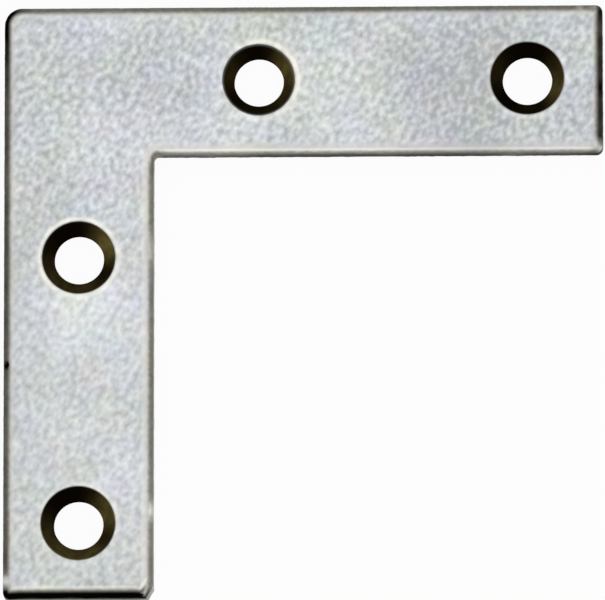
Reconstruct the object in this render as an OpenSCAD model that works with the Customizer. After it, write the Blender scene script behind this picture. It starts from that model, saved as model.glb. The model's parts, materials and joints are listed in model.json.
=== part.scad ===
// Flat corner brace, stamped as one piece from steel sheet: two arms at a right
// angle, with two countersunk screw holes in each arm. It lies on its back, with
// the countersinks up. One arm runs along +X and the other along -Y. The origin
// is where the centre lines of the arms cross, on the back face.

/* [Plate] */
// Length of each arm, along its outer edge
arm_length = 50.8; // [45:0.1:80]
// Width of each arm
arm_width = 12.7; // [10:0.1:18]
// Thickness of the sheet
sheet_thickness = 2; // [1.6:0.1:3]

/* [Corners of the outline] */
// Radius of the corner where the outer edges meet
outer_corner_r = 1.5; // [0.6:0.1:6]
// Radius of the corner where the inner edges meet
inner_corner_r = 0.4; // [0.2:0.1:6]
// Radius of the corners at the end of each arm
end_corner_r = 0.6; // [0.6:0.1:5]

/* [Rim of the face] */
// Radius of the edge that the punch rolled over, all round the face
rolled_edge_r = 0.5; // [0.2:0.05:0.55]

/* [Screw holes] */
// Diameter of the hole that the shank of the screw passes through
shank_hole_d = 4.2; // [3.2:0.1:4.8]
// Diameter of the countersink where it meets the face
countersink_d = 6.2; // [5.4:0.1:7.2]
// Angle of the countersink, from wall to wall
countersink_angle = 82; // [78:1:100]
// Radius of the soft edge between the countersink and the face
countersink_rim_r = 0.15; // [0.05:0.05:0.3]
// Distance from the outer edge at the corner to the middle of the first hole
corner_hole_distance = 21.6; // [17:0.1:28]
// Distance from the end of the arm to the middle of the last hole
end_hole_distance = 6.4; // [5:0.1:12]

/* [Hidden] */
$fn = 96;

// How far a cut runs on into the air, so that it leaves no skin
overcut = 1;
// How far a straight side runs into an arc that it would only touch
hair = 0.0002;

half_width = arm_width / 2;
// From the origin to the end of an arm
arm_reach = arm_length - half_width;

// The outline, counterclockwise from the outer corner: where the edges meet, the
// radius there, and 1 where the outline turns left or -1 where it turns right
CORNERS = [
    [[-half_width, half_width], outer_corner_r, 1],
    [[-half_width, -arm_reach], end_corner_r, 1],
    [[half_width, -arm_reach], end_corner_r, 1],
    [[half_width, -half_width], inner_corner_r, -1],
    [[arm_reach, -half_width], end_corner_r, 1],
    [[arm_reach, half_width], end_corner_r, 1],
];

// From the origin to the middle of each hole, along an arm
HOLE_REACHES = [corner_hole_distance - half_width, arm_reach - end_hole_distance];

// How deep the countersink's cone runs below the face
countersink_slope = countersink_angle / 2;
countersink_depth = (countersink_d - shank_hole_d) / 2 / tan(countersink_slope);
// How far the soft edge reaches along the face from where the cone would meet it
rim_reach = countersink_rim_r * tan((90 - countersink_slope) / 2);

function point(i) = CORNERS[i % len(CORNERS)][0];
function radius(i) = CORNERS[i % len(CORNERS)][1];
function turn(i) = CORNERS[i % len(CORNERS)][2];
// The edge that leaves corner i: its length from corner to corner, and its heading
function edge_length(i) = norm(point(i + 1) - point(i));
function heading(i) = atan2(point(i + 1).y - point(i).y, point(i + 1).x - point(i).x);

// Puts its children at the middle of corner i's arc. The arc fills the first
// quadrant there, and the corner itself is at [radius, radius].
module at_corner(i) {
    angle = heading(i) + (turn(i) == 1 ? 180 : 90);
    corner = point(i);
    offset = radius(i) * [cos(angle) - sin(angle), sin(angle) + cos(angle)];
    translate([corner.x - offset.x, corner.y - offset.y, 0]) rotate(angle) children();
}

// What lies between a corner's arc and its point
module corner_waste(i) {
    difference() {
        square(radius(i) + overcut);
        circle(radius(i));
    }
}

module outline() {
    difference() {
        union() {
            polygon([for (i = [0 : len(CORNERS) - 1]) point(i)]);
            for (i = [0 : len(CORNERS) - 1]) if (turn(i) == -1) at_corner(i) corner_waste(i);
        }
        for (i = [0 : len(CORNERS) - 1]) if (turn(i) == 1) at_corner(i) corner_waste(i);
    }
}

// Section of what the rolled edge takes off: X is outwards from the outline, and Y
// is up from the face
module rolled_edge_waste(outwards = overcut) {
    translate([-rolled_edge_r, -rolled_edge_r]) difference() {
        square([rolled_edge_r + outwards, rolled_edge_r + overcut]);
        circle(rolled_edge_r);
    }
}

// The section runs along each straight edge and round each corner
module rolled_edge() {
    for (i = [0 : len(CORNERS) - 1]) {
        straight = edge_length(i) - radius(i) - radius(i + 1);
        translate(point(i)) rotate(heading(i))
            translate([radius(i), 0]) rotate([90, 0, 90])
                linear_extrude(straight) mirror([1, 0]) rolled_edge_waste();
        at_corner(i) rotate_extrude(angle = 90) translate([radius(i), 0])
            if (turn(i) == 1) rolled_edge_waste();
            else mirror([1, 0]) rolled_edge_waste(outwards = radius(i));
    }
}

// Half section of one hole: the shank's hole, the cone and its soft edge. Y is up
// from the face.
module hole_section() {
    shank_r = shank_hole_d / 2;
    soft_edge_middle = [countersink_d / 2 + rim_reach, -countersink_rim_r];
    cone_top = soft_edge_middle
        + (countersink_rim_r - hair) * [-cos(countersink_slope), sin(countersink_slope)];
    difference() {
        polygon([
            [0, -sheet_thickness - overcut],
            [shank_r, -sheet_thickness - overcut],
            [shank_r, -countersink_depth],
            cone_top,
            soft_edge_middle,
            [soft_edge_middle.x, overcut],
            [0, overcut],
        ]);
        translate(soft_edge_middle) circle(countersink_rim_r);
    }
}

module corner_plate() {
    color("gainsboro") translate([0, 0, sheet_thickness]) difference() {
        translate([0, 0, -sheet_thickness]) linear_extrude(sheet_thickness) outline();
        rolled_edge();
        for (reach = HOLE_REACHES, place = [[reach, 0], [0, -reach]])
            translate(place) rotate_extrude() hole_section();
    }
}

corner_plate();
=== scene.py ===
# %% [markdown]
# # A flat corner brace
# This lesson models and finishes one small piece of hardware: a flat corner brace, an
# L-shaped steel plate with two countersunk screw holes in each arm. It is stamped from
# sheet in one piece and then zinc plated, so it is one object here too. Its looks come
# from small things: the edge that the punch rolled over, the raised lip round each
# countersink, painted dark shade on the rolled edges and cut sides, and the mottled grain of the zinc.

import json
import math

import bmesh
import bpy
from mathutils import Matrix, Vector, noise


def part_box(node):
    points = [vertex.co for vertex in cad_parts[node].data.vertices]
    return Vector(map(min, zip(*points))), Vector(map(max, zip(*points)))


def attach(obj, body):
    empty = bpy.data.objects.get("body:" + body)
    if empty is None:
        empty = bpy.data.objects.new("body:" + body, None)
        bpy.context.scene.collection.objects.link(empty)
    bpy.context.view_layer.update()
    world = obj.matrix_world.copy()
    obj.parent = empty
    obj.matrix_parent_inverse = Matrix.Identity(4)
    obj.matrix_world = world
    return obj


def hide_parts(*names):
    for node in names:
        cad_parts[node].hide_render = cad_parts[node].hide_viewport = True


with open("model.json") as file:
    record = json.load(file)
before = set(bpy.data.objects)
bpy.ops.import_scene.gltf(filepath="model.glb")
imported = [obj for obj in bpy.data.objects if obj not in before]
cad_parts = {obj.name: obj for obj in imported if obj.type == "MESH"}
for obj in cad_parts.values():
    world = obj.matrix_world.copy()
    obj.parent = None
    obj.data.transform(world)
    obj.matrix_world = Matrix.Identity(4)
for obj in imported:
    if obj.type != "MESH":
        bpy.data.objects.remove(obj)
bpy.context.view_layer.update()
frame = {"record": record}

# %% [markdown]
# The drawing gives the sizes that matter for use: the arms, the sheet and the holes. They
# are read from it here, so that the dressed plate can never drift away from the drawing.
# Blender's tools are happiest at about one unit, and this plate is only 50 mm long. So it
# is modelled with one unit to the millimetre, and shrunk to metres when it is finished.

# %% Sizes, in millimetres
MM = 0.001

low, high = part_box("corner_plate")
half_width = -low.x / MM
arm_reach = high.x / MM
thickness = high.z / MM
screw_bores = [m for m in frame["record"]["mounts"] if m["kind"] == "bore"]
hole_centres = [Vector((m["pos_m"][0] / MM, m["pos_m"][1] / MM, 0)) for m in screw_bores]
hole_centres.sort(key=lambda centre: (-round(centre.y), centre.x))  # along one arm, then down the other
shank_r = screw_bores[0]["dims"]["r_mm"]
land_height = screw_bores[0]["dims"]["length_mm"]

outer_corner_r = 1.5
end_corner_r = 0.6
inner_corner_r = 0.4
rolled_edge_r = 0.5
countersink_r = 3.1
soft_edge_r = 0.15
print("arm width", round(2 * half_width, 2), "reach", round(arm_reach, 2), "sheet", round(thickness, 2))
print("holes at", [tuple(round(c, 2) for c in hole[:2]) for hole in hole_centres])

# %% [markdown]
# Most edit mode tools act on what is selected. By hand you would click. In a script you
# say which vertices, edges or faces you mean by where they are, and pick selects exactly
# those and nothing else.

# %% Selecting by place
ALIKE = 1e-4  # two places closer than this, in mm, are the same


def choose(*pieces):
    """Leaves edit mode, selects these objects alone and makes the first of them active."""
    if bpy.context.object and bpy.context.object.mode != "OBJECT":
        bpy.ops.object.mode_set(mode="OBJECT")
    bpy.ops.object.select_all(action="DESELECT")
    for piece in pieces:
        piece.select_set(True)
    bpy.context.view_layer.objects.active = pieces[0]


def edit(piece):
    """Makes a piece the only selected object and opens it in edit mode."""
    choose(piece)
    bpy.ops.object.mode_set(mode="EDIT")


def pick(piece, kind, wanted):
    """Selects the vertices, edges or faces of a piece that pass a test, and counts them."""
    edit(piece)
    bpy.ops.mesh.select_mode(type=kind)
    bpy.ops.mesh.select_all(action="DESELECT")
    mesh = bmesh.from_edit_mesh(piece.data)
    parts = {"VERT": mesh.verts, "EDGE": mesh.edges, "FACE": mesh.faces}[kind]
    found = [part for part in parts if wanted(part)]
    for part in found:
        part.select_set(True)
    mesh.select_flush_mode()
    bmesh.update_edit_mesh(piece.data)
    return len(found)


def middle(part):
    """Middle of an edge or a face."""
    return sum((v.co for v in part.verts), Vector()) / len(part.verts)


def near(a, b):
    return abs(a - b) < ALIKE


def many_sided(face):
    """Whether a face has more than four sides, as the plate's wide faces have."""
    return len(face.verts) > 4


def done(piece):
    bpy.ops.object.mode_set(mode="OBJECT")
    mesh = piece.data
    print(piece.name, "has", len(mesh.vertices), "vertices and", len(mesh.polygons), "faces")


# %% [markdown]
# ## The blank
# The real plate starts as a blank that a die cuts from the sheet. It could be drawn as a
# list of corner points, but an L is quicker to pull out of a square: the square where the
# arms cross is a plane, and two of its edges are extruded to the ends of the arms. The
# seams between the three squares are then dissolved, which leaves one face with six corners.

# %% The blank: a square and two arms
FLAT_ANGLE = math.radians(1)  # a seam that bends less than this is dissolved

bpy.ops.object.select_all(action="DESELECT")
bpy.ops.mesh.primitive_plane_add(size=2 * half_width, location=(0, 0, 0))
plate = bpy.context.object
plate.name = "brace_plate"
arm_pull = arm_reach - half_width

pick(plate, "EDGE", lambda e: near(middle(e).x, half_width))
bpy.ops.mesh.extrude_region_move(TRANSFORM_OT_translate={"value": (arm_pull, 0, 0)})
pick(plate, "EDGE", lambda e: near(middle(e).y, -half_width) and near(middle(e).x, 0))
bpy.ops.mesh.extrude_region_move(TRANSFORM_OT_translate={"value": (0, -arm_pull, 0)})
bpy.ops.mesh.select_all(action="SELECT")
bpy.ops.mesh.dissolve_limited(angle_limit=FLAT_ANGLE)
done(plate)

# %% [markdown]
# The die's corners are never dead sharp, or it would crack. The outer corner is plainly
# round, the ends of the arms are nipped round, and the inner corner has a small fillet.
# Bevelling a vertex of a flat face rounds it in plan.

# %% Round the corners in plan
CORNER_ROUNDS = [  # radius, steps of the arc, and the corners that have it
    (outer_corner_r, 12, [(-half_width, half_width)]),
    (inner_corner_r, 6, [(half_width, -half_width)]),
    (end_corner_r, 8, [
        (-half_width, -arm_reach), (half_width, -arm_reach),
        (arm_reach, -half_width), (arm_reach, half_width),
    ]),
]
for corner_r, steps, places in CORNER_ROUNDS:
    for place in places:
        pick(plate, "VERT", lambda v: near(v.co.x, place[0]) and near(v.co.y, place[1]))
        bpy.ops.mesh.bevel(offset=corner_r, segments=steps, affect="VERTICES", clamp_overlap=False)
done(plate)

# %% [markdown]
# The long edges will be worn and dented later, and only vertices can move. So the straight
# stretches are divided finely first: whatever is too long is halved, until nothing is. The
# steps beside a corner stay longer, so that later insets have room to turn there. The face
# is taken off meanwhile, because subdividing the edge of a face may cut the face up too,
# and it is put back with the same outline.

# %% Divide the straight edges finely
EDGE_STEP = 0.3
CORNER_STEP = 0.8
SAME_HEADING = 0.9999


def heading(edge):
    return (edge.verts[1].co - edge.verts[0].co).normalized()


def too_long(edge):
    """Whether an edge is longer than its place allows: beside a turn it may be longer."""
    neighbours = [other for v in edge.verts for other in v.link_edges]
    turns = any(abs(heading(edge).dot(heading(other))) < SAME_HEADING for other in neighbours)
    return edge.calc_length() > (CORNER_STEP if turns else EDGE_STEP)


pick(plate, "FACE", lambda f: True)
bpy.ops.mesh.delete(type="ONLY_FACE")
while pick(plate, "EDGE", too_long):
    bpy.ops.mesh.subdivide(number_cuts=1)
bpy.ops.mesh.select_all(action="SELECT")
bpy.ops.mesh.edge_face_add()
bpy.ops.mesh.normals_make_consistent(inside=False)
done(plate)

# %% [markdown]
# ## Sides and rolled edge
# A punch leaves three zones on the cut side. Where it enters, it drags the surface down
# into a rolled edge. Below that it shears a smooth band, and at the bottom the steel
# tears and stays rough. One extrusion would give bare walls, so the side is pulled up in
# steps, with a ring of vertices wherever one of these zones starts or has to bend.

# %% Pull the sides up through the torn and the sheared zone
TORN_TOP = 0.9
SIDE_RINGS = [0.15, 0.3, 0.45, 0.6, 0.75, TORN_TOP, 1.2, thickness - rolled_edge_r]


def face_at(z):
    """Selects the plate's one wide face at a height."""
    return pick(plate, "FACE", lambda f: near(middle(f).z, z) and many_sided(f))


height = 0.0
for ring in SIDE_RINGS:
    face_at(height)
    bpy.ops.mesh.extrude_region_move(TRANSFORM_OT_translate={"value": (0, 0, ring - height)})
    height = ring
bpy.ops.mesh.select_all(action="SELECT")
bpy.ops.mesh.normals_make_consistent(inside=False)
done(plate)

# %% [markdown]
# The rolled edge is a quarter circle in section. An inset moves a face's border inwards by
# the same distance all along, round the corners too, and it can lift the face as it does.
# A row of small insets therefore draws any profile round the whole plate. Each new ring
# also notes how far in from the outline it lies, because the finish will need that.

# %% Roll the edge over with a row of insets
ROLL_STEPS = 8

bpy.ops.object.mode_set(mode="OBJECT")
plate.data.attributes.new("inward", "FLOAT", "POINT")


def note_inward(distance):
    """Writes on the selected ring how far in it lies: a number, or a rule that is given the place."""
    mesh = bmesh.from_edit_mesh(plate.data)
    layer = mesh.verts.layers.float["inward"]
    for vertex in mesh.verts:
        if vertex.select:
            vertex[layer] = distance(vertex.co) if callable(distance) else distance


for step in range(ROLL_STEPS):
    here, there = (math.radians(90 * s / ROLL_STEPS) for s in (step, step + 1))
    face_at(thickness - rolled_edge_r * (1 - math.sin(here)))
    bpy.ops.mesh.inset(
        thickness=rolled_edge_r * (math.cos(here) - math.cos(there)),
        depth=rolled_edge_r * (math.sin(there) - math.sin(here)),
    )
    note_inward(rolled_edge_r * (1 - math.cos(there)))
done(plate)

# %% [markdown]
# Five more insets stay flat. They keep the bend's shading from running out over the wide
# face, and they carry the painted shade that reaches in from the edge. After the first of them the
# arcs at the end corners are almost used up, so each arc is merged to a point. Without
# that the next inset would fold them over.

# %% Frame the face with flat rings
FLAT_INSETS = [0.08, 0.10, 0.12, 0.14, 0.16]
ARC_CRUMB = 0.05  # longer than the steps that are left of an arc, and shorter than all others


def is_arc_crumb(edge):
    """Whether an edge is a short one on the border of the wide face."""
    borders_face = any(many_sided(f) for f in edge.link_faces)
    return borders_face and near(middle(edge).z, thickness) and edge.calc_length() < ARC_CRUMB


inset_so_far = rolled_edge_r
for number, width in enumerate(FLAT_INSETS):
    face_at(thickness)
    bpy.ops.mesh.inset(thickness=width)
    inset_so_far += width
    note_inward(inset_so_far)
    if number == 0:
        pick(plate, "EDGE", is_arc_crumb)
        bpy.ops.mesh.merge(type="COLLAPSE")
done(plate)

# %% [markdown]
# On the back the punch leaves a sharp burr, which tumbling knocks off before the plating.
# A narrow bevel along the bottom outline does the same, and a plain inset frames the flat.

# %% Take the burr off the back
BURR_BREAK = 0.05
BACK_BORDER = 0.3

pick(plate, "EDGE", lambda e: all(near(v.co.z, 0) for v in e.verts))
bpy.ops.mesh.bevel(offset=BURR_BREAK, segments=2, affect="EDGES", clamp_overlap=False)
face_at(0)
bpy.ops.mesh.inset(thickness=BACK_BORDER)
note_inward(inset_so_far)
done(plate)

# %% [markdown]
# ## Wear on the edges
# A knock has flattened one corner at the end of the downward arm. It could be sculpted,
# but a flat facet is a cut: bisect slices the selected mesh with a plane, drops what lies
# beyond it and fills the cut. The plane is given by how far from the sharp corner it meets
# each of the three edges there. Only the faces round the corner are selected, because the
# plane would pass through the other arm as well. The blow also nipped the wall below, so a
# steep plane cuts the corner first and a flat one makes the facet on top. The facet is then
# stepped in three times towards the small pit that the knock left, and sunk a little there.
# The facet gets painted light: the painted dark of the arm's end gives way on it, and the
# more so the nearer the corner. So the rings there count their depth from the end and add
# more to it towards the side. The pit gets painted shade.

# %% Flatten the knocked corner
NIP_LEGS = (0.7, 1.2, 7.0)  # from the sharp corner along the end, up the side and down the wall
KNOCK_LEGS = (1.8, 2.3, 0.5)
KNOCK_REGION = 4.0  # how far from the corner a face may lie to be cut
PIT_PLACE = (5.6, -43.64)
FACET_LIT_SLOPE = 0.86  # how much depth each mm towards the side adds
FACET_LIT_FROM = 5.35  # this far from the arm's middle the painted light starts
PIT_SHADE = 0.5  # painted shade: the pit is as dark as a place this far in from the outline
STEEP = 0.5  # a face whose normal rises less than this is a wall
SMALL_FACE = 6  # a cut leaves faces of up to five sides beside it
sharp_corner = Vector((half_width, -arm_reach, thickness))


def cut_corner_off(legs):
    """Cuts the corner off along the plane through these distances on its three edges."""
    direction = Vector((1 / legs[0], -1 / legs[1], 1 / legs[2])).normalized()
    pick(plate, "FACE", lambda f: (len(f.verts) < SMALL_FACE or abs(f.normal.z) < STEEP)
         and (middle(f) - sharp_corner).length < KNOCK_REGION)
    bpy.ops.mesh.bisect(
        plane_co=sharp_corner - Vector((legs[0], 0, 0)), plane_no=direction,
        use_fill=True, clear_outer=True,
    )
    return direction


def facet_lit_depth(place):
    """How far in a place on the facet counts, so that its painted dark gives way to painted light."""
    from_end = place.y + arm_reach + FACET_LIT_SLOPE * max(place.x - FACET_LIT_FROM, 0)
    return min(from_end, half_width - place.x)


# The facet's rings get painted light, and the pit's ring painted shade.
KNOCK_RINGS = [(0.72, 0.0, facet_lit_depth), (0.65, 0.0, facet_lit_depth), (0.5, 0.03, PIT_SHADE)]  # size, sink and depth

cut_corner_off(NIP_LEGS)
knock_direction = cut_corner_off(KNOCK_LEGS)
pit_off = Vector((*PIT_PLACE, thickness)) - (sharp_corner - Vector((KNOCK_LEGS[0], 0, 0)))
pit_floor = Vector((*PIT_PLACE, thickness - pit_off.dot(knock_direction) / knock_direction.z))
for size, sink, inward in KNOCK_RINGS:
    pick(plate, "FACE", lambda f: many_sided(f) and f.normal.dot(knock_direction) > SAME_HEADING)
    bpy.ops.mesh.extrude_region_move(TRANSFORM_OT_translate={"value": knock_direction * -sink})
    bpy.ops.transform.resize(value=(size, size, size), center_override=pit_floor)
    note_inward(inward)
done(plate)

# %% [markdown]
# The cut sides are not smooth. A displacement does what a sculptor's brush would: a cloud
# texture pushes each vertex along its normal, and a vertex group says how far it may go.
# The torn zone gets the most, and the rolled edge is only a little uneven.

# %% Weigh how rough each zone of the side is
ZONE_WEIGHTS = [  # heights between which a vertex lies, and the share of the push that it gets
    (0.02, TORN_TOP - 0.01, 1.0),
    (TORN_TOP - 0.01, thickness - rolled_edge_r - 0.01, 0.35),
    (thickness - rolled_edge_r - 0.01, thickness - 0.005, 0.5),
]

bpy.ops.object.vertex_group_add()
plate.vertex_groups.active.name = "rough"
for zone_low, zone_high, weight in ZONE_WEIGHTS:
    found = pick(plate, "VERT", lambda v: zone_low < v.co.z < zone_high)
    bpy.context.scene.tool_settings.vertex_group_weight = weight
    bpy.ops.object.vertex_group_assign()
    print("weight", weight, "on", found, "vertices")
bpy.ops.object.mode_set(mode="OBJECT")

# %% Push the sides in and out
ROUGHNESSES = [("torn_steel", 0.22, 0.075), ("uneven_edge", 1.4, 0.05)]  # name, grain size and depth

for name, grain_size, depth in ROUGHNESSES:
    cloud = bpy.data.textures.new(name, type="CLOUDS")
    cloud.noise_scale = grain_size
    push = plate.modifiers.new(name, "DISPLACE")
    push.texture = cloud
    push.texture_coords = "LOCAL"
    push.direction = "NORMAL"
    push.vertex_group = "rough"
    push.strength = depth
    push.mid_level = 0.5
    bpy.ops.object.modifier_apply(modifier=name)
done(plate)

# %% [markdown]
# One sharp nick on the long outer side is pushed in with proportional editing: a few
# vertices move all the way, and their neighbours follow less the farther off they are.

# %% Push in the nick
nick_place = Vector((-half_width + 0.22, -24.5, thickness - 0.15))
NICK_SIZE = 0.14
NICK_REACH = 0.36
NICK_PUSH = (0.2, 0.03, -0.16)

pick(plate, "VERT", lambda v: (v.co - nick_place).length < NICK_SIZE)
bpy.ops.transform.translate(
    value=NICK_PUSH, use_proportional_edit=True, proportional_size=NICK_REACH,
    proportional_edit_falloff="SMOOTH",
)
done(plate)

# %% [markdown]
# ## One screw hole
# Anything round is quickest to turn, as on a lathe: its half section is drawn once and
# spun about the axis. This section starts on the back, climbs the straight land and the
# 82 degree cone, rounds over a soft edge, and ends in a faint lip: the countersink is
# pressed in, and the steel that it displaces rises round the rim. A chain of vertices is
# started from a plane that is merged to its centre, because there is no vertex primitive.

# %% Half section of a hole, as radius and height
CONE_STEPS = 6
SOFT_STEPS = 4
LIP_STEPS = 6
LIP_WIDTH = 0.5
LIP_HEIGHT = 0.02
HOLE_BREAK = 0.04
HOLE_BORDER = 0.08

cone_angle = math.atan2(countersink_r - shank_r, thickness - land_height)  # from the axis
soft_reach = soft_edge_r * math.tan((math.pi / 2 - cone_angle) / 2)
soft_middle = (countersink_r + soft_reach, thickness - soft_edge_r)


def soft_point(turn):
    """A point on the soft edge: turn 0 is where the cone ends, and turn 1 the face."""
    angle = math.pi - cone_angle + turn * (cone_angle - math.pi / 2)
    return (soft_middle[0] + soft_edge_r * math.cos(angle), soft_middle[1] + soft_edge_r * math.sin(angle))


def between(a, b, part):
    return (a[0] + (b[0] - a[0]) * part, a[1] + (b[1] - a[1]) * part)


cone_foot = (shank_r, land_height)
section = [(shank_r + HOLE_BREAK + HOLE_BORDER, 0), (shank_r + HOLE_BREAK, 0), (shank_r, HOLE_BREAK)]
section += [between((shank_r, 0), cone_foot, part) for part in (1 / 3, 2 / 3)]
section += [between(cone_foot, soft_point(0), s / CONE_STEPS) for s in range(CONE_STEPS)]
section += [soft_point(s / SOFT_STEPS) for s in range(SOFT_STEPS + 1)]
lip_start = section[-1][0]
for step in range(1, LIP_STEPS + 1):
    part = step / LIP_STEPS
    rise = LIP_HEIGHT * math.sin(math.pi * part) ** 2
    section.append((lip_start + LIP_WIDTH * part, thickness + rise))
section.append((lip_start + LIP_WIDTH + HOLE_BORDER, thickness))
print("cone angle", round(2 * math.degrees(cone_angle), 1), "points in the section", len(section))

# %% Draw the section and spin it
HOLE_SIDES = 96

bpy.ops.object.select_all(action="DESELECT")
bpy.ops.mesh.primitive_plane_add(size=1, location=(0, 0, 0))
hole = bpy.context.object
hole.name = "screw_hole"
pick(hole, "VERT", lambda v: True)
bpy.ops.mesh.merge(type="CENTER")
start = section[0]
bpy.ops.transform.translate(value=(start[0], 0, start[1]))
for here, there in zip(section, section[1:]):
    bpy.ops.mesh.extrude_vertices_move(
        TRANSFORM_OT_translate={"value": (there[0] - here[0], 0, there[1] - here[1])}
    )
bpy.ops.mesh.select_all(action="SELECT")
bpy.ops.mesh.spin(steps=HOLE_SIDES, angle=2 * math.pi, center=(0, 0, 0), axis=(0, 0, 1))
bpy.ops.mesh.remove_doubles(threshold=ALIKE)
done(hole)

# %% [markdown]
# ## Holes into the plate
# The turned surface cannot be cut into the plate by itself, because it is open and its lip
# stands proud. So each hole takes two steps. A plain cone, whose ends are as wide as the
# section's two ends, is cut out with a boolean. Its bare wall is deleted, and the turned
# surface takes its place: it meets the cut vertex for vertex, and merging sews them up.
# A face with holes in it needs inner edges that reach the rims, and some of them end in the
# middle of a rim's straight step. The turned surface has no partner for such a spare vertex.
# It cannot be dissolved, because its edge carries the face, so it slides to a neighbour.

# %% Cut a clearance for each hole
CUTTER_POKE = 0.5  # how far a cutter stands out of both faces
foot_r, head_r = section[0][0], section[-1][0]
flare = (head_r - foot_r) / thickness

for centre in hole_centres:
    bpy.ops.object.select_all(action="DESELECT")
    bpy.ops.mesh.primitive_cone_add(
        vertices=HOLE_SIDES, radius1=foot_r - flare * CUTTER_POKE, radius2=head_r + flare * CUTTER_POKE,
        depth=thickness + 2 * CUTTER_POKE, location=(centre.x, centre.y, thickness / 2),
    )
    cutter = bpy.context.object
    cut = plate.modifiers.new("clearance", "BOOLEAN")
    cut.operation = "DIFFERENCE"
    cut.solver = "EXACT"
    cut.object = cutter
    choose(plate)
    bpy.ops.object.modifier_apply(modifier=cut.name)
    bpy.data.objects.remove(cutter)
done(plate)

# %% Take the bare walls out and clear the rims
CUT_WALL = 0.9  # a face of a cut's wall has a normal that rises less than this


def from_hole(place):
    """How far a place is from the axis of the nearest hole."""
    return min((place.xy - centre.xy).length for centre in hole_centres)


def is_spare(vertex):
    """Whether a vertex lies in the middle of a straight stretch of an open rim."""
    rims = [edge for edge in vertex.link_edges if edge.is_boundary]
    return len(rims) == 2 and abs(heading(rims[0]).dot(heading(rims[1]))) > SAME_HEADING


def slide_spares():
    """Moves each selected spare vertex along its rim onto the nearest neighbour there."""
    mesh = bmesh.from_edit_mesh(plate.data)
    for vertex in [v for v in mesh.verts if v.select]:
        rims = [edge for edge in vertex.link_edges if edge.is_boundary]
        nearest = min(rims, key=lambda edge: edge.calc_length())
        vertex.co = nearest.other_vert(vertex).co
    bmesh.update_edit_mesh(plate.data)


walls = pick(plate, "FACE", lambda f: from_hole(middle(f)) < head_r and abs(f.normal.z) < CUT_WALL)
bpy.ops.mesh.delete(type="FACE")
while pick(plate, "VERT", is_spare):
    slide_spares()
    pick(plate, "VERT", lambda v: v.is_boundary)
    bpy.ops.mesh.remove_doubles(threshold=ALIKE)
rim_vertices = pick(plate, "VERT", lambda v: v.is_boundary)
partners = 2 * HOLE_SIDES * len(hole_centres)
print("cut walls deleted:", walls, "vertices on the rims:", rim_vertices, "of", partners)
done(plate)

# %% Set a turned hole in each clearance
hole_copies = [hole]
for _ in hole_centres[1:]:
    choose(hole)
    bpy.ops.object.duplicate(linked=False)
    hole_copies.append(bpy.context.object)
for copy, centre in zip(hole_copies, hole_centres):
    choose(copy)
    bpy.ops.transform.translate(value=centre)
choose(plate, *hole_copies)
bpy.ops.object.join()
print("turned holes set in:", len(hole_copies))

# %% Sew them in and check that the shell is closed
SEAM = 0.05  # well under the distance between two vertices of a ring
SHARP = math.radians(35)  # an edge that bends more than this is not shaded smooth

pick(plate, "VERT", lambda v: v.is_boundary)
bpy.ops.mesh.remove_doubles(threshold=SEAM)
pick(plate, "FACE", many_sided)
bpy.ops.mesh.quads_convert_to_tris(quad_method="BEAUTY", ngon_method="BEAUTY")
bpy.ops.mesh.select_all(action="SELECT")
bpy.ops.mesh.normals_make_consistent(inside=False)
mesh = bmesh.from_edit_mesh(plate.data)
open_edges = sum(not edge.is_manifold for edge in mesh.edges)
print("open edges", open_edges, "volume", round(mesh.calc_volume(), 1), "mm3")
done(plate)
bpy.ops.object.shade_smooth_by_angle(angle=SHARP)

# %% [markdown]
# ## Where the finish changes
# The same plate shows pale zinc on its face, painted dark shade on its rolled edges and cut
# sides, and painted brown black shade in its countersinks. Three materials would meet in hard
# lines. Instead, every vertex gets a few numbers, such as how dark the painted shade on the
# edge is there, and one material blends by them.

# %% Two soft rules
def smooth(low, high, value):
    """0 below low, 1 above high and an even S between them."""
    part = min(max((value - low) / (high - low), 0), 1)
    return part * part * (3 - 2 * part)


def bell(distance, reach):
    """1 at no distance, fading to nothing at about twice the reach."""
    return math.exp(-((distance / reach) ** 2))


# %% [markdown]
# The sides differ in their painted dark, which stands in for the dark surroundings that the
# rolled edge and the sides reflect. The long outer sides are moderately dark, the sheared arm
# ends nearly black, and on the inner side of one arm the dark keeps to the wall. Each side
# states how dark its rolled edge and its torn foot are, between which depths the dark fades on
# the way in, and how bright the painted highlight on the shoulder inside it is. Near a corner
# the two sides mix. Spots of painted light and painted shade are listed for the roll and for
# the wall, and blend over the height between.

# %% How dark each side is
plan = [
    Vector((-half_width, half_width)), Vector((-half_width, -arm_reach)), Vector((half_width, -arm_reach)),
    Vector((half_width, -half_width)), Vector((arm_reach, -half_width)), Vector((arm_reach, half_width)),
]
SIDES = [  # roll, foot, fade from and to in mm, shoulder highlight: from the outer corner down the left and round
    (0.83, 0.82, 0.28, 0.76, 0.00),
    (1.05, 0.52, 0.38, 0.94, 0.40),
    (0.64, 0.20, 0.24, 0.62, 0.22),
    (0.68, 1.00, -0.10, 0.32, 0.00),
    (0.95, 0.66, 0.28, 0.86, 0.00),
    (0.68, 0.60, 0.30, 0.76, 0.00),
]
SHOULDER_DEPTH = 0.88
SHOULDER_REACH = 0.2
CORNER_MIX = 0.6
ROLL_TONE_FROM = 1.9  # from the torn zone up to this height the foot's tone gives way to the roll's
UNEVEN_SIZE = 1.7
UNEVEN_SHARE = 0.08
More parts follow.
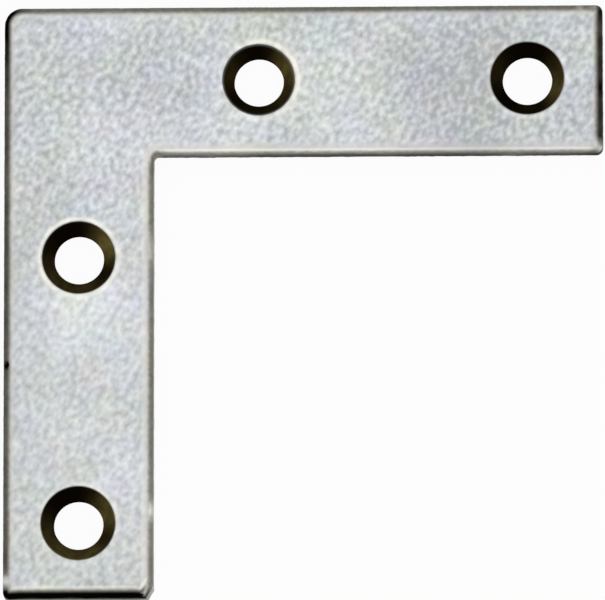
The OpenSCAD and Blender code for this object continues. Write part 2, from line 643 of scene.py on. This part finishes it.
ROLL_SPOTS = [  # place, reach in mm and how much painted shade or, below zero, painted light there is
    ((-5.9, 5.9), 1.30, 0.25),
    ((-6.2, 2.8), 2.80, 0.15),
    ((-6.0, -24.5), 0.26, 0.6),
    ((-6.2, -36.0), 10.0, -0.04),
    ((-6.15, -43.0), 0.50, -0.95),
    ((-6.1, -44.3), 0.60, 0.3),
    ((5.75, -44.45), 0.32, 0.3),
    ((5.9, -44.05), 0.28, -0.28),
    ((6.3, -14.5), 1.50, -0.36),
    ((6.3, -37.0), 0.80, -0.6),
    ((44.3, -6.1), 0.36, -0.9),
    ((44.4, 5.7), 0.50, 0.1),
    ((43.7, 6.1), 0.26, -0.5),
    ((42.5, 6.1), 0.30, -0.3),
]
WALL_SPOTS = [
    ((9.5, -6.35), 4.5, -0.10),
    ((21.5, -6.35), 3.0, 0.10),
    ((36.8, -6.35), 0.9, -0.16),
]
print("sides", len(SIDES), "spots on the roll", len(ROLL_SPOTS), "and on the wall", len(WALL_SPOTS))

# %% Work out how dark a place is
FAINTEST = 1e-9  # a side's least share, so that the shares never add up to nothing


def spotted(place, spots):
    return sum(change * bell((place.xy - Vector(spot)).length, size) for spot, size, change in spots)


def side_distance(place, start, end):
    along = end - start
    part = min(max((place - start).dot(along) / along.length_squared, 0), 1)
    return (place - start - along * part).length


def by_edge(place, depth):
    """Whether a vertex is on the sides or on the rings that frame the face."""
    return depth < inset_so_far - ALIKE and from_hole(place) > head_r + SEAM


def side_values(place):
    """What the nearest side states, mixed with what its neighbour states near a corner."""
    ends = zip(plan, plan[1:] + plan[:1])
    shares = [bell(side_distance(place.xy, start, end), CORNER_MIX) + FAINTEST for start, end in ends]
    whole = sum(shares)
    return [sum(share * value for share, value in zip(shares, column)) / whole for column in zip(*SIDES)]


def edge_dark(place, depth):
    """How dark the painted shade is at a place that lies this far in from the outline."""
    if not by_edge(place, depth):
        return 0.0
    roll, foot, fade_from, fade_to, _ = side_values(place)
    upper = smooth(TORN_TOP, ROLL_TONE_FROM, place.z)
    tone = foot + (roll - foot) * upper
    tone *= 1 + UNEVEN_SHARE * noise.noise(Vector((place.x, place.y, 0)) / UNEVEN_SIZE)
    tone += upper * spotted(place, ROLL_SPOTS) + (1 - upper) * spotted(place, WALL_SPOTS)
    return min(max(tone, 0), 1) * (1 - smooth(fade_from, fade_to, depth))


def edge_rubbed(place, depth):
    """1 on the shoulder inside the roll, where the grain is rubbed smooth, fading inwards."""
    return 1 - smooth(rolled_edge_r, inset_so_far, depth) if by_edge(place, depth) else 0.0


# %% [markdown]
# Round the holes the rules are radial: a painted highlight on the lip where the pressed
# steel rose, painted shade on the countersink from the soft edge down, and on that shade a
# painted glint in some directions. No two holes are lit alike, so each has its own lip
# highlight, brighter on one side, and its own list of glints. The ridge that the knock
# raised on the face gets a painted highlight as the lips do.

# %% What each hole and the ridge look like
LIP_TOP_R = 3.36
LIP_REACH = 0.19
SHADE_FADE = 0.16  # over how many mm the painted shade fades out at the top of the soft edge
HOLE_LOOKS = [  # lip highlight: strength, lean, heading; how far the painted shade reaches; glints: heading, width, strength
    ((0.48, 0.90, 15), 0.00, [(25, 30, 0.62), (-30, 35, 0.15), (-90, 40, 0.06), (165, 35, 0.12)]),
    ((0.22, 0.45, 250), 0.06, [(-20, 27, 0.50), (20, 25, 0.15), (-90, 25, 0.04), (165, 30, 0.09)]),
    ((0.66, 0.15, 130), 0.04, [(27, 30, 0.93), (-70, 30, 0.18), (-130, 50, 0.23)]),
    ((0.26, 0.45, 60), 0.09, [(20, 33, 0.62), (-65, 27, 0.42), (-115, 30, 0.42), (195, 30, 0.16)]),
]
RIDGE_HIGHLIGHT = 0.6
RIDGE_REACH = 0.12
RIDGE_SPAN = (0.3, 0.7)  # from where to where along the line on which the facet meets the face
ridge = [
    sharp_corner.xy + Vector((-KNOCK_LEGS[0] * (1 - part), KNOCK_LEGS[1] * part)) for part in RIDGE_SPAN
]
print("ridge from", [tuple(round(c, 2) for c in end) for end in ridge])


def hole_at(place):
    """The nearest hole's looks, with how far away its axis is and in which heading."""
    centre, looks = min(zip(hole_centres, HOLE_LOOKS), key=lambda pair: (place.xy - pair[0].xy).length)
    out = place.xy - centre.xy
    return looks, out.length, math.degrees(math.atan2(out.y, out.x))


# %% Painted highlight, painted shade and painted glint
# Painted highlights: on each hole's lip, on the shoulder inside the roll and along the knock's ridge.
def polished(place, depth):
    (lip, _, _), away, turn = hole_at(place)
    if place.z < thickness - soft_edge_r:
        return 0.0
    if soft_middle[0] - ALIKE < away < head_r - ALIKE:
        strength, lean, lip_heading = lip
        side = 1 + lean * math.cos(math.radians(turn - lip_heading))
        return min(strength * side, 1) * bell(away - LIP_TOP_R, LIP_REACH)
    if not by_edge(place, depth):
        return 0.0
    shoulder = side_values(place)[-1] * bell(depth - SHOULDER_DEPTH, SHOULDER_REACH)
    return max(shoulder, RIDGE_HIGHLIGHT * bell(side_distance(place.xy, *ridge), RIDGE_REACH))


# Painted shade on the countersink from the soft edge down, standing in for the dark that the cone reflects.
def hole_film(place, depth):
    (_, shade_reach, _), away, _ = hole_at(place)
    edge = soft_middle[0] + shade_reach
    return 1 - smooth(edge - SHADE_FADE, edge, away) if ALIKE < place.z and away < edge else 0.0


def turned_by(turn, other):
    """How many degrees lie between two headings, the short way round."""
    return (turn - other + 180) % 360 - 180


# Painted glints on the countersink's shade, in the headings listed for each hole.
def hole_gleam(place, depth):
    (_, _, glints), _, turn = hole_at(place)
    if hole_film(place, depth) == 0.0:
        return 0.0
    return min(sum(strength * bell(turned_by(turn, to), width) for to, width, strength in glints), 1)


# %% Write them on the vertices
depths = [d.value for d in plate.data.attributes["inward"].data]
# Besides the rubbed shoulder's grain, these rules give painted shade on the edges and in the countersinks,
# painted highlights and painted glints.
for rule in (edge_dark, edge_rubbed, polished, hole_film, hole_gleam):
    values = [rule(v.co, depth) for v, depth in zip(plate.data.vertices, depths)]
    plate.data.attributes.new(rule.__name__, "FLOAT", "POINT").data.foreach_set("value", values)
    print(rule.__name__, "from", round(min(values), 2), "to", round(max(values), 2))

# %% [markdown]
# The plate is finished as a shape. It shrinks from millimetres to metres about the origin,
# and the scale is applied, so that its place and size are in its mesh. It stands for the
# drawing's plate, rides on the same body and takes its finish from the same slot.

# %% Shrink to metres and take the drawing's place
choose(plate)
bpy.ops.transform.resize(value=(MM, MM, MM), center_override=(0, 0, 0))
bpy.ops.object.transform_apply(location=True, rotation=True, scale=True)
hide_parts("corner_plate")
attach(plate, "root")
print("plate's size in mm", [round(d / MM, 2) for d in plate.dimensions])

# %% [markdown]
# ## The finish
# Zinc plating on stamped steel is a satin metal with a fine mottled grain, like frost on a
# window, and cloudy tints of blue, green and rose from the bright dip. A photograph could
# be wrapped on, but it would only hold for one plate. Noise that is read in the plate's own
# coordinates makes the same grain at any size and from any side. A small helper keeps the
# node trees short: a socket takes either a plain value or the output of another node.

# %% Node helper
NOISE_LOW = 0.3  # nearly all of a noise lies between these two levels
NOISE_HIGH = 0.7


def colour(red, green, blue):
    """A colour as a picture editor shows it, 0 to 255, in the linear values that nodes take."""
    def linear(level):
        level /= 255
        return level / 12.92 if level <= 0.04045 else ((level + 0.055) / 1.055) ** 2.4
    return (linear(red), linear(green), linear(blue), 1)


class Tree:
    """A node tree with one call to add a node, set it and wire it."""

    def __init__(self, owner):
        owner.use_nodes = True
        self.tree = owner.node_tree
        self.tree.nodes.clear()

    def add(self, kind, sockets=None, out=0, **settings):
        made = self.tree.nodes.new(kind)
        for name, value in settings.items():
            setattr(made, name, value)
        for name, value in (sockets or {}).items():
            if isinstance(value, bpy.types.NodeSocket):
                self.tree.links.new(value, made.inputs[name])
            else:
                made.inputs[name].default_value = value
        return made.outputs[out] if len(made.outputs) else made

    def read(self, name):
        return self.add("ShaderNodeAttribute", attribute_name=name, out="Fac")

    def noise(self, where, size, detail=2, roughness=0.5):
        """Soft noise from 0 to 1 with blotches of about this size in millimetres."""
        return self.add("ShaderNodeTexNoise", {
            "Vector": where, "Scale": 1 / (size * MM), "Detail": detail, "Roughness": roughness,
        }, out="Fac")

    def remap(self, value, from_low, from_high, to_low, to_high):
        return self.add("ShaderNodeMapRange", {
            "Value": value, "From Min": from_low, "From Max": from_high, "To Min": to_low, "To Max": to_high,
        })

    def spread(self, cloud, low, high):
        """A noise stretched to run from low to high, and held within them."""
        return self.remap(cloud, NOISE_LOW, NOISE_HIGH, low, high)

    def math(self, operation, first, second, clamp=False):
        return self.add("ShaderNodeMath", {0: first, 1: second}, operation=operation, use_clamp=clamp)

    def patch(self, where, place, reach, amount):
        """The amount at a place in millimetres, fading to nothing at its reach."""
        away = self.add("ShaderNodeVectorMath", {
            0: where, 1: [c * MM for c in place],
        }, out="Value", operation="DISTANCE")
        return self.add("ShaderNodeMapRange", {
            "Value": away, "From Min": 0, "From Max": reach * MM, "To Min": amount, "To Max": 0,
        }, interpolation_type="SMOOTHSTEP")

    def mix(self, factor, first, second, blend="MIX"):
        return self.add("ShaderNodeMix", {"Factor": factor, 6: first, 7: second}, out=2,
                        data_type="RGBA", blend_type=blend)


# %% [markdown]
# The grain is one noise, stretched a little along a diagonal, because the sheet was rolled
# that way. It is fainter down the second arm and on the rubbed shoulder. A wide noise clouds
# the brightness, a few large patches are lighter or darker, and noises shift the hue: from
# blue to straw above all, and a little to green and to rose.

# %% Zinc face
ZINC_LIGHT = colour(230, 233, 234)
ZINC_DARK = colour(168, 172, 174)
TINTS = [  # linear multiplier, noise size and offset in mm, the noise levels for none and for all of it
    ((0.992, 0.992, 1.067, 1), 3.4, (0, 0, 0), 0.50, 0.72),
    ((1.005, 1.005, 0.933, 1), 3.4, (0, 0, 0), 0.50, 0.28),
    ((0.982, 1.043, 1.000, 1), 3.6, (31, 17, 0), 0.52, 0.78),
    ((1.049, 0.982, 0.990, 1), 2.8, (13, 47, 0), 0.54, 0.80),
]
GRAIN_SIZE = 0.48
GRAIN_TURN = math.radians(60)
GRAIN_STRETCH = 1.25
FAINT_FROM = -18  # at this Y in mm and below, the grain is at its faintest
STRONG_FROM = -8  # and at this one and above, at its strongest
FAINT_GRAIN = 1.1
STRONG_GRAIN = 1.4
RUBBED_OFF = 0.8  # the share of the grain that is gone where the shoulder is rubbed
CLOUD_SIZE = 9
CLOUD_SHARE = 0.12
PLAIN_TONE = 0.41  # between ZINC_DARK at 0 and ZINC_LIGHT at 1
PATCHES = [  # place and reach in mm, and how much lighter it is there
    ((32.5, -1.0, thickness), 11.0, -0.30),
    ((21.5, 0.0, thickness), 7.0, 0.14),
    ((8.0, -1.0, thickness), 6.0, -0.12),
    ((0.0, -19.5, thickness), 8.0, 0.26),
]


def zinc_face(tree):
    """Colour of the plated face, and the grain that its roughness and bump follow."""
    where = tree.add("ShaderNodeTexCoord", out="Object")
    along_grain = tree.add("ShaderNodeMapping", {
        "Vector": where, "Rotation": (0, 0, GRAIN_TURN), "Scale": (GRAIN_STRETCH, 1, 1),
    }, vector_type="TEXTURE")
    grain = tree.noise(along_grain, GRAIN_SIZE, detail=1, roughness=0.35)
    down_the_arm = tree.add("ShaderNodeSeparateXYZ", {"Vector": where}, out="Y")
    contrast = tree.remap(down_the_arm, FAINT_FROM * MM, STRONG_FROM * MM, FAINT_GRAIN, STRONG_GRAIN)
    unrubbed = tree.math("SUBTRACT", 1.0, tree.math("MULTIPLY", tree.read("edge_rubbed"), RUBBED_OFF))
    contrast = tree.math("MULTIPLY", contrast, unrubbed)
    mottle = tree.math("MULTIPLY", tree.math("SUBTRACT", grain, 0.5), contrast)
    light = tree.math("ADD", mottle, PLAIN_TONE)
    cloud = tree.spread(tree.noise(where, CLOUD_SIZE, detail=2), -CLOUD_SHARE, CLOUD_SHARE)
    light = tree.math("ADD", light, cloud)
    for place, reach, lighter in PATCHES:
        light = tree.math("ADD", light, tree.patch(where, place, reach, lighter))
    shade = tree.mix(light, ZINC_DARK, ZINC_LIGHT)
    for tint, size, offset, none, whole in TINTS:
        moved = tree.add("ShaderNodeMapping", {"Vector": where, "Location": [c * MM for c in offset]})
        amount = tree.remap(tree.noise(moved, size, detail=2), none, whole, 0, 1)
        shade = tree.mix(amount, shade, tint, blend="MULTIPLY")
    return shade, grain


# %% [markdown]
# The edges get a painted brown black shade, which a finer noise breaks up, so that the
# zinc shows through where it is thin, under an olive tint. The countersinks get a darker
# painted shade with painted olive glints. Both are dull, while the painted highlights are
# bright and warm.

# %% The whole plate's material
SHOULDER_WARM = (1.055, 1.0, 0.95, 1)
HIGHLIGHT_WARM = colour(242, 239, 226)
HIGHLIGHT_BREAKUP = (0.9, 0.55, 1.35)  # blotch size in mm, and from what to what it multiplies the painted highlight
EDGE_BLACK = colour(7, 5, 3)
EDGE_SHADE_BREAKUP = (0.5, -0.16, 0.16)  # blotch size in mm, and from what to what it adds to the painted dark
BREAKUP_WHOLE = 0.3  # how dark an edge has to be for the breakup to count in full
EDGE_SHADE_TINT = (1.0, 0.99, 0.91, 1)
SHADE_TINT_WHOLE = 0.6  # and for the olive tint to lie on it in full
COUNTERSINK_BLACK = colour(11, 7, 3)
GLINT_OLIVE = colour(108, 95, 52)
GLINT_BREAKUP = (0.7, 0.7, 1.3)  # blotch size in mm, and from what to what it multiplies the painted glint
PLATED_ROUGH = (0.36, 0.5)  # the roughness from one end of the grain to the other
DULL_ROUGH = 0.12  # how much rougher the dark edges and the countersinks are
GRAIN_BUMP = 0.25
GRAIN_HEIGHT = 0.03 * MM


def plated_steel():
    material = bpy.data.materials.new("zinc_plated_steel")
    tree = Tree(material)
    shade, grain = zinc_face(tree)
    where = tree.add("ShaderNodeTexCoord", out="Object")

    shade = tree.mix(tree.read("edge_rubbed"), shade, SHOULDER_WARM, blend="MULTIPLY")
    # Painted highlights on the lips, the shoulder and the ridge, bright and warm.
    size, least, most = HIGHLIGHT_BREAKUP
    uneven_highlight = tree.spread(tree.noise(where, size, detail=2), least, most)
    highlight_here = tree.math("MULTIPLY", tree.read("polished"), uneven_highlight, clamp=True)
    shade = tree.mix(highlight_here, shade, HIGHLIGHT_WARM)

    # Painted dark shade on the rolled edges and the sides, broken up and tinted olive.
    size, least, most = EDGE_SHADE_BREAKUP
    shade_breakup = tree.spread(tree.noise(where, size, detail=3, roughness=0.6), least, most)
    dark = tree.read("edge_dark")
    broken = tree.math("MULTIPLY", shade_breakup, tree.math("SUBTRACT", 1.0, dark))
    broken = tree.math("MULTIPLY", broken, tree.remap(dark, 0, BREAKUP_WHOLE, 0, 1))
    dark = tree.math("ADD", dark, broken, clamp=True)
    shade = tree.mix(tree.remap(dark, 0, SHADE_TINT_WHOLE, 0, 1), shade, EDGE_SHADE_TINT, blend="MULTIPLY")
    shade = tree.mix(dark, shade, EDGE_BLACK)

    # Painted shade in the countersinks, with painted olive glints on it.
    size, least, most = GLINT_BREAKUP
    glint_breakup = tree.spread(tree.noise(where, size, detail=3), least, most)
    glint_here = tree.math("MULTIPLY", tree.read("hole_gleam"), glint_breakup)
    shaded_countersink = tree.mix(glint_here, COUNTERSINK_BLACK, GLINT_OLIVE)
    countersink_here = tree.read("hole_film")
    shade = tree.mix(countersink_here, shade, shaded_countersink)

    dull = tree.math("MAXIMUM", dark, countersink_here)
    metallic = tree.remap(dull, 0, 1, 1, 0)
    roughness = tree.math("ADD", tree.spread(grain, *PLATED_ROUGH), tree.math("MULTIPLY", dull, DULL_ROUGH))
    bump = tree.add("ShaderNodeBump", {"Height": grain, "Strength": GRAIN_BUMP, "Distance": GRAIN_HEIGHT})
    steel = tree.add("ShaderNodeBsdfPrincipled", {
        "Base Color": shade, "Metallic": metallic, "Roughness": roughness, "Normal": bump,
        "Specular IOR Level": 0.0,  # what is dull has no gloss at all
    })
    tree.add("ShaderNodeOutputMaterial", {"Surface": steel})
    return material


finish = plated_steel()
plate.data.materials.clear()
plate.data.materials.append(finish)
print("material", finish.name, "with", len(finish.node_tree.nodes), "nodes")

# %% [markdown]
# ## Floor, light and camera
# The brace lies on a plain white floor, as in a catalogue. To the camera and to the metal's
# reflections the floor is white by itself. A small share of it is an ordinary matt surface,
# so the plate's soft shadow still falls on it. From below it lets the view through, because a
# look at the back of the plate would otherwise end at the floor.

# %% White floor
WHITE = (1, 1, 1, 1)
FLOOR_GREY = (0.85, 0.85, 0.85, 1)  # the colour of its matt share
FLOOR_SIZE = 6.0  # in metres
FLOOR_DROP = 0.1 * MM  # the gap under the plate, so that the two faces never coincide
FLOOR_MATT = 0.05  # how large the matt share is to the camera and to reflections


def seen_directly(tree):
    """1 for the camera, for reflections and for what is seen through glass, and 0 for light."""
    rays = tree.tree.nodes.new("ShaderNodeLightPath")
    reflected = tree.math("MAXIMUM", rays.outputs["Is Glossy Ray"], rays.outputs["Is Transmission Ray"])
    return tree.math("MAXIMUM", rays.outputs["Is Camera Ray"], reflected)


def white_floor():
    material = bpy.data.materials.new("white_floor")
    tree = Tree(material)
    matt = tree.add("ShaderNodeBsdfDiffuse", {"Color": FLOOR_GREY})
    glow = tree.add("ShaderNodeEmission", {"Color": WHITE, "Strength": 1.0})
    share = tree.math("MULTIPLY", seen_directly(tree), 1 - FLOOR_MATT)
    lit = tree.add("ShaderNodeMixShader", {0: share, 1: matt, 2: glow})
    clear = tree.add("ShaderNodeBsdfTransparent", {"Color": WHITE})
    below = tree.add("ShaderNodeNewGeometry", out="Backfacing")
    surface = tree.add("ShaderNodeMixShader", {0: below, 1: lit, 2: clear})
    tree.add("ShaderNodeOutputMaterial", {"Surface": surface})
    return material


bpy.ops.object.select_all(action="DESELECT")
middle_x = (arm_reach - half_width) / 2 * MM
bpy.ops.mesh.primitive_plane_add(size=FLOOR_SIZE, location=(middle_x, -middle_x, -FLOOR_DROP))
floor = bpy.context.object
floor.name = "floor"
floor.data.materials.append(white_floor())
print("floor", FLOOR_SIZE, "m wide, with its middle at", [round(c, 4) for c in floor.location])

# %% [markdown]
# The light is even, as between two softboxes and a bright room. The room is the world: it
# is white to the camera and to reflections, and weaker as a light, because the lamps add
# the rest. Together they light a surface so that its colour renders about as written.

# %% Room and lamps
ROOM_LIGHT = 0.6
LAMPS = [  # name, place in metres, size in metres, power in watts
    ("key", (-0.6, -1.4, 1.6), 2.2, 10),
    ("fill", (1.4, 0.6, 1.3), 2.0, 6),
]

world = bpy.data.worlds.new("studio")
bpy.context.scene.world = world
room = Tree(world)
brightness = room.remap(seen_directly(room), 0, 1, ROOM_LIGHT, 1.0)
room.add("ShaderNodeOutputWorld", {
    "Surface": room.add("ShaderNodeBackground", {"Color": WHITE, "Strength": brightness}),
})

plate_middle = Vector((middle_x, -middle_x, 0))
for name, place, size, power in LAMPS:
    bpy.ops.object.light_add(type="AREA", location=place)
    lamp = bpy.context.object
    lamp.name = name
    lamp.data.size = size
    lamp.data.energy = power
    lamp.rotation_euler = (plate_middle - Vector(place)).to_track_quat("-Z", "Y").to_euler()
    lamp.visible_camera = False
    print("lamp", name, "of", power, "W", round((plate_middle - Vector(place)).length, 2), "m away")

# %% [markdown]
# The picture was taken with a long lens from almost straight above, leaning a little to
# the front. The three angles, the distance and the lens were fitted to the outline and the
# hole rims, so the render can be laid over the picture. There is no depth of field.

# %% Camera
CAMERA_TURN = math.radians(-10.116)
CAMERA_HEIGHT = math.radians(79.707)
CAMERA_ROLL = math.radians(-10.279)
CAMERA_DISTANCE = 1230.85 * MM
FOCAL_LENGTH = 865.3
aim = Vector((18.978, -19.021, 2.0)) * MM

forward = Vector((
    math.sin(CAMERA_TURN) * math.cos(CAMERA_HEIGHT), math.cos(CAMERA_TURN) * math.cos(CAMERA_HEIGHT),
    -math.sin(CAMERA_HEIGHT),
))
level = Vector((math.cos(CAMERA_TURN), -math.sin(CAMERA_TURN), 0))
upright = level.cross(forward)
right = level * math.cos(CAMERA_ROLL) + upright * math.sin(CAMERA_ROLL)
up = upright * math.cos(CAMERA_ROLL) - level * math.sin(CAMERA_ROLL)
stand = Matrix((right, up, -forward)).transposed().to_4x4()
stand.translation = aim - forward * CAMERA_DISTANCE

bpy.ops.object.camera_add()
camera = bpy.context.object
camera.name = "camera"
camera.matrix_world = stand
camera.data.lens = FOCAL_LENGTH
camera.data.sensor_fit = "HORIZONTAL"
camera.data.clip_start = 0.05
camera.data.clip_end = 50
bpy.context.scene.camera = camera
bpy.context.scene.view_settings.view_transform = "Standard"
print("camera stands at", [round(c, 4) for c in camera.location])
